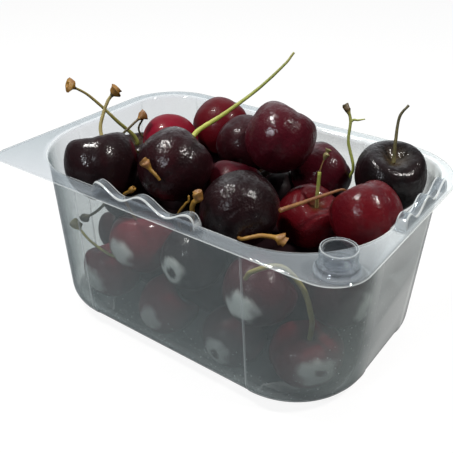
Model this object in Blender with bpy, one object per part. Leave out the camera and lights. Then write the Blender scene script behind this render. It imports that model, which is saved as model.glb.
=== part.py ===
# A clear plastic punnet heaped with fresh cherries. Metres, +Z up.
# The origin is the middle of the punnet's flat bottom. +X runs along its long side, and the near
# corner, which carries the lid stud, is at +X, -Y.
import math

import bmesh
import bpy
import numpy as np
from mathutils import Matrix, Vector

MM = 0.001

# Punnet: outside sizes
RIM_HEIGHT = 0.070
SKIN = 0.0005                       # thickness of the plastic
BASE_HALF = (0.0685, 0.0426)        # half length and half width where wall and floor would meet
WALL_TOP_HALF = (0.0711, 0.04485)
FLANGE_HALF = (0.0780, 0.05175)
# corner radii in the order right, far, left, near
BASE_RADII = (0.0260, 0.0260, 0.0295, 0.0295)
WALL_TOP_RADII = (0.0170, 0.0170, 0.0335, 0.0335)
FLANGE_RADII = (0.0288, 0.0250, 0.0080, 0.0130)
FLOOR_FILLET = 0.010
RIM_FILLET = 0.002
LIP_DROP = 0.0008                   # the flange's edge turns down this far
CREASE_STEP = 0.0004                # the corners stand proud of the flat walls by this much
CREASE_RUN = 0.0012
CORNER_STEPS = 8

# Wavy ridges on the flange, which clip the lid
RIDGE_WIDTH = 0.0040
RIDGE_CREST = 0.0050
RIDGE_VALLEY = 0.0013
RIDGE_END = 0.0026                  # how far a ridge runs on past its outer crests
RIDGES = {                          # middle of the ridge, its direction and the spacing of its crests
    "long_side": dict(middle=(0.0020, -0.0490), turn=0.0, pitch=0.0198),
    "short_side": dict(middle=(0.0752, 0.0040), turn=90.0, pitch=0.0145),
}

# Lid stud: a turned cup on the near corner of the flange, as (radius, height above the flange)
STUD_PLACE = (0.0695, -0.0425)
STUD_PROFILE = ((0.0070, -0.0003), (0.0068, 0.0008), (0.0059, 0.0014), (0.0055, 0.0066), (0.0052, 0.0070),
                (0.0048, 0.0070), (0.0046, 0.0066), (0.0040, 0.0009))
STUD_STEPS = 20

# Cherries
CHERRY_STEPS = 10                   # sides round a cherry
CHERRY_RINGS = 7
CHERRY_FLAT = 0.95                  # a cherry's thickness across its seam, as a share of its width
CHERRY_TALL = 0.98
CHERRY_SQUARE = 0.55                # how square its shoulders are
CHERRY_TAPER = 0.13                 # how much it narrows from its shoulders down
CHERRY_PIT = 0.33                   # depth and width of the hollow round its stem
CHERRY_PIT_WIDTH = 0.44
TOUCH = 0.965                       # neighbours' centres come this near, as a share of their radii
WALL_GAP = 0.0009                   # from the outside of the wall to a cherry: the plastic and a gap
# Each cherry that shows: centre and half width in mm, then the direction of its stem
SHOWN = {
    "front_left_dark": ((-38.5, -29.7, 67.0), 14.4, (-0.40, 0.46, 0.78)),
    "left_hollow": ((-57.5, 9.5, 51.0), 12.0, (-0.05, -0.10, 0.99)),
    "crimson": ((-38.6, 9.0, 63.0), 11.8, (-0.20, 0.90, 0.40)),
    "front_dark": ((-13.5, -17.0, 69.5), 14.3, (-0.03, 0.94, 0.33)),
    "back_muted_red": ((-28.0, 31.0, 65.0), 12.8, (-0.30, 0.80, 0.50)),
    "back_purple": ((-7.0, 20.5, 66.5), 12.2, (-0.50, 0.80, 0.30)),
    "top_purple_red": ((14.5, 12.0, 78.0), 13.8, (0.07, 0.72, 0.70)),
    "middle_sunk": ((1.1, 0.7, 55.4), 12.3, (-0.30, 0.60, 0.74)),
    "front_bloomed": ((19.5, -20.0, 62.5), 14.3, (-0.60, 0.55, -0.58)),
    "back_right_brown": ((22.5, 31.0, 56.5), 12.8, (0.30, 0.80, 0.50)),
    "dimpled_red": ((31.0, 8.5, 49.0), 13.0, (0.42, -0.22, 0.88)),
    "bright_red": ((56.3, 5.3, 59.5), 13.2, (-0.80, 0.30, 0.53)),
    "right_black": ((52.5, 30.5, 64.0), 13.9, (0.20, -0.18, 0.96)),
    "wall_red": ((-20.5, -29.5, 39.5), 13.2, (-0.10, 0.32, 0.94)),
    "left_end": ((-52.0, -8.0, 22.5), 13.0, (-0.50, 0.30, 0.81)),
    "wall_left": ((-39.0, -29.5, 19.5), 12.8, (-0.30, 0.10, 0.95)),
    "wall_middle": ((5.5, -30.5, 42.0), 12.6, (0.30, 0.60, 0.74)),
    "floor_left": ((-10.0, -29.5, 13.5), 12.5, (0.60, 0.50, 0.62)),
    "floor_middle": ((23.5, -29.5, 13.4), 12.4, (-0.40, 0.80, 0.45)),
    "wall_right": ((34.0, -29.5, 39.5), 13.5, (0.50, 0.70, 0.51)),
    "near_corner": ((50.5, -23.0, 14.7), 13.6, (0.26, -0.10, 0.96)),
    "near_corner_upper": ((56.5, -12.0, 36.0), 12.4, (-0.60, 0.50, 0.62)),
    "right_end_upper": ((55.0, 27.0, 35.5), 12.2, (-0.50, 0.20, 0.84)),
    "right_end_floor": ((56.0, 20.0, 13.2), 12.2, (-0.70, 0.20, 0.69)),
}
# The cherries behind those settle on the floor and between them
FILL_COUNT = 20
FILL_SEED = 156
FILL_TOP = 58.0                     # one that is squeezed out above this height is left out
FILL_HALF_WIDTH = (11.8, 13.2)
FILL_BOX = ((-58.0, 58.0), (-12.0, 34.0), (13.0, 50.0))
SETTLE_STEPS = 700
SETTLE_DROP = 0.1

# The packed middle that joins them: half length, half width and height of each ring, in mm
CORE_RINGS = ((46.0, 21.0, 11.0), (51.0, 26.0, 20.0), (50.0, 25.0, 34.0), (42.0, 20.0, 41.0),
              (30.0, 14.0, 45.0))
CORE_RADIUS = 12.0
CORE_STEPS = 2
NECK_HALF_WIDTH = 3.5               # hidden necks hold the cherries on the packed middle
NECK_FOOT = (0.75, 0.55, 26.0, 36.0)    # share of x, share of y, lowest and highest foot

# Stems: the way of each through its points, in mm, from inside its cherry to its free end
STEM_RADIUS = 0.8
STEM_SIDES = 5
KNOB = 2.1                          # how much wider a stem's knob is than the stem
STEMS = {
    "front_left": dict(knob=True, way=(
        (-42.0, -24.5, 73.5), (-44.2, -23.2, 78.6), (-44.5, -21.0, 83.2), (-44.3, -18.4, 88.3),
        (-43.0, -15.2, 91.2))),
    "long_thin": dict(knob=True, way=(
        (-57.8, 9.3, 55.5), (-58.4, 7.7, 61.6), (-59.6, 0.3, 70.3), (-62.1, -6.4, 79.4),
        (-64.0, -11.8, 85.7), (-65.4, -19.0, 90.9))),
    "pair_near": dict(knob=True, way=(
        (-48.0, 2.0, 57.0), (-49.7, -8.0, 67.5), (-47.0, -4.5, 72.9), (-44.4, 1.9, 77.1))),
    "pair_far": dict(knob=False, way=(
        (-45.5, 4.0, 62.5), (-46.7, -0.6, 70.1), (-44.4, 1.9, 76.5))),
    "long_green": dict(knob=False, way=(
        (-10.5, -10.5, 76.0), (-11.1, -5.2, 79.3), (-5.8, 5.3, 84.4), (1.1, 17.3, 92.0), (7.5, 25.2, 100.4),
        (9.7, 28.5, 104.7))),
    "dry_stub": dict(knob=False, way=(
        (-8.0, -26.0, 67.8), (-8.4, -31.2, 71.0), (-9.8, -32.3, 74.6), (-12.9, -34.1, 78.4))),
    "rim_stub": dict(knob=True, way=(
        (-18.5, -33.0, 50.0), (-19.1, -38.0, 62.8), (-12.9, -40.0, 68.6), (-11.3, -40.0, 70.2))),
    "rim_thin": dict(knob=False, way=(
        (3.0, -32.5, 52.0), (5.2, -36.5, 62.7), (8.4, -36.0, 68.2), (10.1, -36.0, 71.8))),
    "rim_knob": dict(knob=True, way=(
        (7.0, -31.5, 52.0), (9.4, -34.0, 64.1), (12.2, -33.8, 70.5), (12.0, -34.0, 73.2))),
    "front_ochre": dict(knob=True, way=(
        (23.0, -27.0, 57.0), (28.6, -31.9, 59.6), (34.0, -28.9, 61.3), (38.8, -25.9, 60.6),
        (41.4, -25.0, 59.3))),
    "short_green": dict(knob=False, way=(
        (35.0, 7.5, 52.0), (36.0, 5.1, 61.9), (35.7, 6.2, 71.0), (36.9, 9.5, 78.7))),
    "brown": dict(knob=False, way=(
        (50.6, 7.4, 63.2), (46.9, 7.6, 69.5), (46.0, -2.5, 71.0), (38.7, -23.8, 70.2))),
    "forked": dict(knob=True, way=(
        (33.0, 31.5, 55.0), (36.4, 32.4, 62.2), (32.6, 34.0, 72.1), (31.6, 36.3, 80.2), (28.6, 36.8, 85.7))),
    "forked_twig": dict(knob=False, way=(
        (31.6, 36.0, 79.6), (33.5, 37.1, 80.6), (36.0, 38.5, 80.7))),
    "olive": dict(knob=False, way=(
        (54.3, 28.0, 71.5), (53.3, 29.9, 79.1), (52.6, 32.6, 87.3), (54.7, 34.4, 91.6))),
    "arched": dict(knob=False, way=(
        (52.0, -23.8, 20.0), (53.5, -25.5, 29.0), (56.5, -31.5, 39.0), (54.7, -35.0, 52.1),
        (48.7, -39.0, 60.4), (39.8, -41.3, 56.4), (36.9, -41.3, 52.4))),
    "wall_pale": dict(knob=True, way=(
        (-19.5, -38.0, 35.5), (-26.5, -41.5, 37.5), (-37.8, -41.0, 39.5), (-47.5, -39.5, 43.9))),
    "wall_dark": dict(knob=True, way=(
        (-31.0, -31.0, 58.5), (-36.9, -36.0, 50.9), (-43.3, -39.0, 46.2))),
}


def wallAt(height):
    share = height / RIM_HEIGHT
    half = [low + (high - low) * share for low, high in zip(BASE_HALF, WALL_TOP_HALF)]
    radii = [low + (high - low) * share for low, high in zip(BASE_RADII, WALL_TOP_RADII)]
    return half, radii


def ring(half, radii, height, grow=0.0, crease=0.0):
    # a rounded rectangle, corner by corner, with a small step where each corner meets the flat walls
    points = []
    for number, (signX, signY) in enumerate(((1, 1), (-1, 1), (-1, -1), (1, -1))):
        radius = radii[number] + grow
        centre = Vector((signX * (half[0] + grow - radius), signY * (half[1] + grow - radius)))
        first = math.radians(90 * number)
        for angle, along in ((first, first - math.pi / 2), (first + math.pi / 2, first + math.pi)):
            flat = centre + Vector((math.cos(angle), math.sin(angle))) * radius
            flat += Vector((math.cos(along), math.sin(along))) * CREASE_RUN
            if angle == first:
                points.append(flat)
                for step in range(CORNER_STEPS + 1):
                    turn = first + math.pi / 2 * step / CORNER_STEPS
                    points.append(centre + Vector((math.cos(turn), math.sin(turn))) * (radius + crease))
            else:
                points.append(flat)
    return [(point.x, point.y, height) for point in points]


def skinRings():
    # the outside of the tub, from the edge of the flat bottom up the wall and out to the flange's edge
    rings = []
    for degrees in (0, 22.5, 45, 67.5, 90):
        angle = math.radians(degrees)
        height = FLOOR_FILLET * (1 - math.cos(angle))
        half, radii = wallAt(height)
        rings.append(ring(half, radii, height, grow=-FLOOR_FILLET * (1 - math.sin(angle)),
                          crease=CREASE_STEP * math.sin(angle) ** 2))
    underside = RIM_HEIGHT - SKIN
    half, radii = wallAt(underside - RIM_FILLET)
    rings.append(ring(half, radii, underside - RIM_FILLET, crease=CREASE_STEP))
    for degrees in (30, 60, 90):
        angle = math.radians(degrees)
        rings.append(ring(half, radii, underside - RIM_FILLET * (1 - math.sin(angle)),
                          grow=RIM_FILLET * (1 - math.cos(angle)), crease=CREASE_STEP * math.cos(angle)))
    rings.append(ring(FLANGE_HALF, FLANGE_RADII, underside))
    rings.append(ring(FLANGE_HALF, FLANGE_RADII, underside - LIP_DROP, grow=0.0002))
    return rings


def meshObject(name, points, faces):
    mesh = bpy.data.meshes.new(name)
    mesh.from_pydata([tuple(point) for point in points], [], faces)
    mesh.validate()
    obj = bpy.data.objects.new(name, mesh)
    bpy.context.scene.collection.objects.link(obj)
    return obj


def loft(rings, capStart=True, capEnd=True):
    # closed rings of equal length joined into one skin, seen from outside
    count = len(rings[0])
    points = [point for loop in rings for point in loop]
    faces = []
    for level in range(len(rings) - 1):
        for step in range(count):
            near, far = level * count + step, level * count + (step + 1) % count
            faces.append((near, far, far + count, near + count))
    if capStart:
        faces.append(tuple(reversed(range(count))))
    if capEnd:
        faces.append(tuple(range((len(rings) - 1) * count, len(rings) * count)))
    return points, faces


def bakeModifiers(obj):
    graph = bpy.context.evaluated_depsgraph_get()
    mesh = bpy.data.meshes.new_from_object(obj.evaluated_get(graph))
    obj.modifiers.clear()
    obj.data = mesh


def combine(obj, others, operation, solver="EXACT"):
    group = bpy.data.collections.new(obj.name + "_" + operation.lower())
    bpy.context.scene.collection.children.link(group)
    for other in others:
        bpy.context.scene.collection.objects.unlink(other)
        group.objects.link(other)
    boolean = obj.modifiers.new(operation.lower(), "BOOLEAN")
    boolean.operand_type = "COLLECTION"
    boolean.collection = group
    boolean.operation = operation
    boolean.solver = solver
    bakeModifiers(obj)
    for other in others:
        bpy.data.objects.remove(other)
    bpy.data.collections.remove(group)


def ridgeRings(pitch, shrink, foot):
    # the wave of three crests, as a ring of six points at each station along it
    length = pitch + RIDGE_END - shrink
    stations = [-length, -length + 0.5 * RIDGE_END]
    steps = 24
    stations += [pitch * (2 * step / steps - 1) for step in range(steps + 1)]
    stations += [length - 0.5 * RIDGE_END, length]
    rings = []
    for station in stations:
        wave = 0.5 * (1 + math.cos(2 * math.pi * min(abs(station), pitch) / pitch))
        top = RIDGE_VALLEY + (RIDGE_CREST - RIDGE_VALLEY) * wave
        past = max(abs(station) - pitch, 0) / (length - pitch)
        top = top * math.sqrt(1 - 0.75 * past ** 2) - shrink
        half = 0.5 * RIDGE_WIDTH - shrink
        shoulder = max(top - 0.0009, 0.5 * top)
        across = ((-half, foot), (half, foot), (half * 0.88, shoulder), (half * 0.55, top),
                  (-half * 0.55, top), (-half * 0.88, shoulder))
        rings.append([(station, side, RIM_HEIGHT + height) for side, height in across])
    return rings


def ridge(name, middle, turn, pitch, shrink=0.0, foot=-0.5 * SKIN):
    points, faces = loft(ridgeRings(pitch, shrink, foot))
    place = Matrix.Translation((middle[0], middle[1], 0)) @ Matrix.Rotation(math.radians(turn), 4, "Z")
    obj = meshObject(name, [place @ Vector(point) for point in points], faces)
    faceOutward(obj)
    return obj


def stud():
    rings = []
    for radius, height in STUD_PROFILE:
        rings.append([(STUD_PLACE[0] + radius * math.cos(2 * math.pi * step / STUD_STEPS),
                       STUD_PLACE[1] + radius * math.sin(2 * math.pi * step / STUD_STEPS),
                       RIM_HEIGHT + height) for step in range(STUD_STEPS)])
    obj = meshObject("stud", *loft(rings))
    faceOutward(obj)
    return obj


def faceOutward(obj):
    build = bmesh.new()
    build.from_mesh(obj.data)
    bmesh.ops.recalc_face_normals(build, faces=build.faces)
    build.to_mesh(obj.data)
    build.free()


def makePunnet():
    points, faces = loft(skinRings(), capEnd=False)
    punnet = meshObject("punnet", points, faces)
    build = bmesh.new()
    build.from_mesh(punnet.data)
    bmesh.ops.triangulate(build, faces=[face for face in build.faces if len(face.verts) > 4])
    build.to_mesh(punnet.data)
    build.free()
    shell = punnet.modifiers.new("skin", "SOLIDIFY")
    shell.thickness = SKIN
    shell.offset = -1
    shell.use_even_offset = True
    bakeModifiers(punnet)
    outer = [ridge(name, **size) for name, size in RIDGES.items()]
    combine(punnet, outer + [stud()], "UNION")
    # the ridges are hollow and open underneath
    hollow = [ridge(name, **size, shrink=SKIN, foot=-2.5 * SKIN) for name, size in RIDGES.items()]
    combine(punnet, hollow, "DIFFERENCE")
    return punnet


def cherryPoint(around, down):
    # a cherry of half width 1 about its own stem axis: down is the angle from the stem
    power = 2 + CHERRY_SQUARE * max(math.cos(down), 0)
    reach = (abs(math.cos(down)) ** power + abs(math.sin(down)) ** power) ** (-1 / power)
    width = reach * math.sin(down) * (1 + CHERRY_TAPER * math.cos(down) / 2)
    pit = CHERRY_PIT * math.exp(-(down / CHERRY_PIT_WIDTH) ** 2)
    height = CHERRY_TALL * reach * math.cos(down) - pit
    return Vector((width * math.cos(around), CHERRY_FLAT * width * math.sin(around), height))


def cherry(name, centre, halfWidth, axis):
    turn = Vector(axis).to_track_quat("Z", "Y").to_matrix().to_4x4()
    place = Matrix.Translation(Vector(centre) * MM) @ turn
    points = [place @ (cherryPoint(0, 0) * halfWidth * MM)]
    for level in range(1, CHERRY_RINGS):
        for step in range(CHERRY_STEPS):
            spot = cherryPoint(2 * math.pi * step / CHERRY_STEPS, math.pi * level / CHERRY_RINGS)
            points.append(place @ (spot * halfWidth * MM))
    points.append(place @ (cherryPoint(0, math.pi) * halfWidth * MM))
    last = len(points) - 1
    faces = []
    for step in range(CHERRY_STEPS):
        following = (step + 1) % CHERRY_STEPS
        faces.append((0, 1 + step, 1 + following))
        for level in range(CHERRY_RINGS - 2):
            start = 1 + level * CHERRY_STEPS
            faces.append((start + step, start + CHERRY_STEPS + step, start + CHERRY_STEPS + following,
                          start + following))
        start = last - CHERRY_STEPS
        faces.append((last, start + following, start + step))
    return meshObject(name, points, faces)


def keepInside(centres, radii):
    # moves cherries off the floor and the walls
    centres[:, 2] = np.maximum(centres[:, 2], radii + WALL_GAP)
    share = np.clip(centres[:, 2] / RIM_HEIGHT, 0, 1)
    inset = radii + WALL_GAP
    back = centres[:, 1] > 0
    radiusLow = np.where(back, BASE_RADII[0], BASE_RADII[2])
    radiusHigh = np.where(back, WALL_TOP_RADII[0], WALL_TOP_RADII[2])
    corner = np.maximum(radiusLow + (radiusHigh - radiusLow) * share - inset, 0.0005)
    half = [low + (high - low) * share - inset for low, high in zip(BASE_HALF, WALL_TOP_HALF)]
    sign = np.where(centres[:, :2] < 0, -1.0, 1.0)
    away = np.minimum(np.abs(centres[:, :2]), np.column_stack(half))
    past = away - (np.column_stack(half) - corner[:, None])
    reach = np.hypot(past[:, 0], past[:, 1])
    round_ = (past.min(axis=1) > 0) & (reach > corner)
    pull = np.where(round_, corner / np.maximum(reach, 1e-9), 1.0)[:, None]
    away = np.where(round_[:, None], away - past * (1 - pull), away)
    centres[:, :2] = sign * away


def settleFill():
    # the cherries that the heap hides: they drop and push each other aside until they lie still
    draw = np.random.default_rng(FILL_SEED)
    radii = draw.uniform(*FILL_HALF_WIDTH, FILL_COUNT) * MM
    centres = np.column_stack([draw.uniform(*side, FILL_COUNT) for side in FILL_BOX]) * MM
    fixed = np.array([centre for centre, _, _ in SHOWN.values()]) * MM
    fixedRadii = np.array([halfWidth for _, halfWidth, _ in SHOWN.values()]) * MM
    for step in range(SETTLE_STEPS):
        if step < 0.9 * SETTLE_STEPS:
            centres[:, 2] -= SETTLE_DROP * MM
        for others, otherRadii, share in ((fixed, fixedRadii, 0.9), (centres.copy(), radii, 0.45)):
            apart = centres[:, None] - others[None]
            distance = np.linalg.norm(apart, axis=2)
            short = np.maximum(TOUCH * (radii[:, None] + otherRadii[None]) - distance, 0)
            short[distance < 1e-9] = 0
            push = apart / np.maximum(distance, 1e-9)[..., None] * short[..., None]
            centres += share * push.sum(axis=1)
            centres[:, 1] += np.where(centres[:, 1] < FILL_BOX[1][0] * MM, SETTLE_DROP * MM, 0)
            keepInside(centres, radii)
    axes = draw.normal(size=(FILL_COUNT, 3))
    settled = [(centre / MM, radius / MM, axis) for centre, radius, axis in zip(centres, radii, axes)]
    return [size for size in settled if size[0][2] < FILL_TOP]


def smoothWay(way, steps):
    # a curve through the points
    points = [Vector(point) * MM for point in way]
    ends = [points[0] * 2 - points[1]] + points + [points[-1] * 2 - points[-2]]
    curve = []
    for number in range(1, len(ends) - 2):
        before, start, end, after = ends[number - 1:number + 3]
        for step in range(steps):
            part = step / steps
            curve.append(0.5 * (2 * start + (end - before) * part
                                + (2 * before - 5 * start + 4 * end - after) * part ** 2
                                + (3 * start - before - 3 * end + after) * part ** 3))
    return curve + [points[-1]]


def stem(name, way, knob):
    curve = smoothWay(way, 2)
    rings = []
    frame = None
    for number, point in enumerate(curve):
        ahead = (curve[min(number + 1, len(curve) - 1)] - curve[max(number - 1, 0)]).normalized()
        frame = ahead.to_track_quat("Z", "Y") if frame is None else (
            (frame @ Vector((0, 0, 1))).rotation_difference(ahead) @ frame)
        wide = 1.0
        if knob:
            wide = KNOB if number == len(curve) - 1 else 1 + 0.4 * (number == len(curve) - 2)
        rings.append([point + frame @ Vector((math.cos(2 * math.pi * side / STEM_SIDES),
                                              math.sin(2 * math.pi * side / STEM_SIDES), 0))
                      * STEM_RADIUS * MM * wide for side in range(STEM_SIDES)])
    obj = meshObject(name, *loft(rings))
    faceOutward(obj)
    return obj


def coreBlock():
    rings = []
    for length, width, height in CORE_RINGS:
        loop = []
        for number, (signX, signY) in enumerate(((1, 1), (-1, 1), (-1, -1), (1, -1))):
            for step in range(CORE_STEPS + 1):
                turn = math.pi / 2 * (number + step / CORE_STEPS)
                along = signX * (length - CORE_RADIUS) + CORE_RADIUS * math.cos(turn)
                across = signY * (width - CORE_RADIUS) + CORE_RADIUS * math.sin(turn)
                loop.append(Vector((along, across, height)) * MM)
        rings.append(loop)
    core = meshObject("cherry_heap", *loft(rings))
    faceOutward(core)
    return core


def neck(centre):
    shareX, shareY, low, high = NECK_FOOT
    foot = Vector((shareX * centre[0], shareY * centre[1], min(max(centre[2], low), high))) * MM
    start = Vector(centre) * MM
    frame = (foot - start).to_track_quat("Z", "Y")
    rings = []
    for point in (start, foot):
        rings.append([point + frame @ Vector((math.cos(turn), math.sin(turn), 0)) * NECK_HALF_WIDTH * MM
                      for turn in (0, math.pi / 2, math.pi, 1.5 * math.pi)])
    return meshObject("neck", *loft(rings))


def makeHeap():
    heap = coreBlock()
    cherries = list(SHOWN.values()) + settleFill()
    pieces = [cherry("cherry", *size) for size in cherries]
    pieces += [neck(centre) for centre, _, _ in cherries]
    pieces += [stem(name, **size) for name, size in STEMS.items()]
    for piece in pieces:
        faceOutward(piece)
    combine(heap, pieces, "UNION")
    return heap


def material(name, colour, roughness, alpha=1.0):
    made = bpy.data.materials.new(name)
    made.use_nodes = True
    shader = made.node_tree.nodes["Principled BSDF"]
    shader.inputs["Base Color"].default_value = (*colour, 1)
    shader.inputs["Roughness"].default_value = roughness
    shader.inputs["Metallic"].default_value = 0.0
    shader.inputs["Alpha"].default_value = alpha
    return made


def finish(obj, look, sharp):
    obj.data.materials.clear()
    obj.data.materials.append(look)
    obj.data.shade_smooth()
    obj.data.set_sharp_from_angle(angle=math.radians(sharp))


def main():
    for obj in list(bpy.data.objects):
        bpy.data.objects.remove(obj)
    finish(makePunnet(), material("clear_plastic", (0.80, 0.84, 0.85), 0.15, alpha=0.35), 35)
    finish(makeHeap(), material("dark_cherry", (0.10, 0.008, 0.015), 0.25), 50)


main()
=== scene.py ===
import math

import bmesh
import bpy
from mathutils import Matrix, Vector, noise


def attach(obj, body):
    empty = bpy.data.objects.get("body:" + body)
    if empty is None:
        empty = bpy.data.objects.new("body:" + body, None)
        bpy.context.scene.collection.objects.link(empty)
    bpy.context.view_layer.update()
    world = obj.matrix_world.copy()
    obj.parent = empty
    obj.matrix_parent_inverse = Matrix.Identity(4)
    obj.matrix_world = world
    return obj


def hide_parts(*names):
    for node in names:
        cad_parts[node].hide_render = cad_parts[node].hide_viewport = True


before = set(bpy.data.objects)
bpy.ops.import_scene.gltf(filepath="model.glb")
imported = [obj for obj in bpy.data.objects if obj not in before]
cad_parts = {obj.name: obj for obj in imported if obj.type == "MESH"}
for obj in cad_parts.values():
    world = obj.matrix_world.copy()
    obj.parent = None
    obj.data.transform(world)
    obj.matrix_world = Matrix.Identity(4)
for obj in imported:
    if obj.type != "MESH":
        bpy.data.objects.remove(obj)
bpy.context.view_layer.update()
mm = 0.001
scene = bpy.context.scene
corners = ((1, 1), (-1, 1), (-1, -1), (1, -1))      # back right, back left, front left, front right


def smooth(low, high, value):
    # 0 at low, 1 at high, with soft ends; low may be the larger
    share = min(max((value - low) / (high - low), 0.0), 1.0)
    return share * share * (3 - 2 * share)


def between(first, second, share):
    return first + (second - first) * share


def mixed(first, second, share):
    return tuple(between(a, b, share) for a, b in zip(first, second))


def wayTo(azimuth, elevation):
    # the direction at these angles in degrees; azimuth 0 is the front and 90 the right end
    azimuth, elevation = math.radians(azimuth), math.radians(elevation)
    return Vector((math.sin(azimuth) * math.cos(elevation), -math.cos(azimuth) * math.cos(elevation),
                   math.sin(elevation)))


def shadeSmooth(mesh, sharp=40):
    # smooth but for edges that turn by more than this many degrees
    mesh.shade_smooth()
    mesh.set_sharp_from_angle(angle=math.radians(sharp))


def objectFrom(build, name, sharp=40):
    mesh = bpy.data.meshes.new(name)
    build.to_mesh(mesh)
    build.free()
    shadeSmooth(mesh, sharp)
    obj = bpy.data.objects.new(name, mesh)
    scene.collection.objects.link(obj)
    return obj


def bakeModifiers(obj):
    graph = bpy.context.evaluated_depsgraph_get()
    mesh = bpy.data.meshes.new_from_object(obj.evaluated_get(graph))
    obj.modifiers.clear()
    obj.data = mesh


def combine(obj, others, operation):
    group = bpy.data.collections.new(operation.lower())
    scene.collection.children.link(group)
    for other in others:
        scene.collection.objects.unlink(other)
        group.objects.link(other)
    boolean = obj.modifiers.new(operation.lower(), "BOOLEAN")
    boolean.operand_type = "COLLECTION"
    boolean.collection = group
    boolean.operation = operation
    bakeModifiers(obj)
    for other in others:
        bpy.data.objects.remove(other)
    bpy.data.collections.remove(group)


def loftLoops(build, loops, capEnd=True):
    # closed loops of as many points each, every point joined to its neighbours and the one before it
    rows = [[build.verts.new(point) for point in points] for points in loops]
    for before, row in zip(rows, rows[1:]):
        for number in range(len(row)):
            build.faces.new((before[number - 1], before[number], row[number], row[number - 1]))
    build.faces.new(rows[0])
    if capEnd:
        build.faces.new(rows[-1])
    bmesh.ops.recalc_face_normals(build, faces=build.faces)


def splitCaps(build):
    bmesh.ops.triangulate(build, faces=[face for face in build.faces if len(face.verts) > 4])


def newMaterial(name):
    made = bpy.data.materials.new(name)
    made.use_nodes = True
    tree = made.node_tree
    tree.nodes.clear()
    return made, tree


def node(tree, kind, inputs=None, **settings):
    made = tree.nodes.new("ShaderNode" + kind)
    for name, value in settings.items():
        setattr(made, name, value)
    for name, value in (inputs or {}).items():
        socket = made.inputs[name]
        if isinstance(value, bpy.types.NodeSocket):
            tree.links.new(value, socket)
        else:
            socket.default_value = (*value, 1) if socket.type == "RGBA" else value
    return made


def attribute(tree, name):
    return node(tree, "Attribute", attribute_name=name).outputs["Fac"]


def ramp(tree, source, stops):
    made = node(tree, "ValToRGB", {"Fac": source})
    while len(made.color_ramp.elements) < len(stops):
        made.color_ramp.elements.new(0.5)
    for element, (place, colour) in zip(made.color_ramp.elements, stops):
        element.position = place
        element.color = (*colour, 1)
    return made.outputs["Color"]


def maths(tree, operation, *values, clamp=False):
    made = node(tree, "Math", dict(enumerate(values)), operation=operation, use_clamp=clamp)
    return made.outputs[0]


def blendColour(tree, share, first, second):
    return node(tree, "Mix", {0: share, 6: first, 7: second}, data_type="RGBA").outputs[2]


def mapped(tree, value, ends, least=0.0, kind="LINEAR"):
    # least at the first end and 1 at the second
    inputs = {"Value": value, "From Min": ends[0], "From Max": ends[1], "To Min": least}
    return node(tree, "MapRange", inputs, interpolation_type=kind).outputs[0]


def noiseOf(tree, scale, detail=2.0, roughness=0.5):
    place = node(tree, "TexCoord").outputs["Object"]
    inputs = {"Vector": place, "Scale": scale, "Detail": detail, "Roughness": roughness}
    return node(tree, "TexNoise", inputs).outputs["Fac"]


def driftOf(tree, vary, **grain):
    # noise from -vary / 2 to vary / 2
    return maths(tree, "MULTIPLY_ADD", noiseOf(tree, **grain), vary, -vary / 2)


# places in metres, angles in degrees, and the focal length, the picture's middle and its size in pixels
shot = dict(place=(0.13457, -0.17785, 0.17206), azimuth=35.967, elevation=30.668, roll=-0.287,
            focal=640.66, middle=(241.43, 224.65), photoSize=453, sensor=36, nearest=0.01)


def makeCamera():
    back = wayTo(shot["azimuth"], shot["elevation"])
    roll = math.radians(shot["roll"])
    right = (-back).cross(Vector((0, 0, 1))).normalized()
    up = right.cross(-back)
    across = right * math.cos(roll) + up * math.sin(roll)
    upward = up * math.cos(roll) - right * math.sin(roll)
    data = bpy.data.cameras.new("camera")
    data.sensor_width = shot["sensor"]
    data.lens = shot["focal"] * data.sensor_width / shot["photoSize"]
    half = shot["photoSize"] / 2
    data.shift_x = (half - shot["middle"][0]) / shot["photoSize"]
    data.shift_y = (shot["middle"][1] - half) / shot["photoSize"]
    data.clip_start = shot["nearest"]
    camera = bpy.data.objects.new("camera", data)
    scene.collection.objects.link(camera)
    turned = Matrix((across, upward, back)).transposed().to_4x4()
    camera.matrix_world = Matrix.Translation(shot["place"]) @ turned
    scene.camera = camera


studio = dict(
    aim=(0.0, 0.0, 0.05),
    lamps=dict(         # direction from the heap in degrees, distance and width in metres, power in watts
        overLeft=dict(azimuth=-59, elevation=64, away=0.75, wide=0.07, power=5.0, colour=(1.0, 0.98, 0.95)),
        overRight=dict(azimuth=102, elevation=56, away=0.75, wide=0.07, power=5.0, colour=(1.0, 0.97, 0.93)),
        window=dict(azimuth=-7, elevation=33, away=0.85, wide=0.14, power=2.6, colour=(0.9, 0.95, 1.0)),
    ),
    # the air is bright behind and above the tub and dim in front of it
    bright=(-0.507, 0.698, 0.505),
    air=((0.0, (0.045, 0.048, 0.052)), (0.62, (0.16, 0.165, 0.17)), (0.8, (0.62, 0.64, 0.66)),
         (0.96, (1.00, 1.04, 1.08))),
    backdrop=(1.0, 1.0, 1.0),
    floor=dict(half=1.5, seen=(0.1, 0.1, 0.1), glow=0.89, counter=(0.16, 0.16, 0.17)), clearLayers=40)


def makeAir():
    world = bpy.data.worlds.new("air")
    world.use_nodes = True
    tree = world.node_tree
    tree.nodes.clear()
    way = node(tree, "TexCoord").outputs["Generated"]
    toward = node(tree, "VectorMath", {0: way, 1: studio["bright"]}, operation="DOT_PRODUCT")
    light = node(tree, "Background", {"Color": ramp(tree, toward.outputs["Value"], studio["air"])})
    plain = node(tree, "Background", {"Color": studio["backdrop"]})
    seen = node(tree, "LightPath").outputs["Is Camera Ray"]
    both = node(tree, "MixShader", {0: seen, 1: light.outputs[0], 2: plain.outputs[0]})
    node(tree, "OutputWorld", {"Surface": both.outputs[0]})
    scene.world = world


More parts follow.
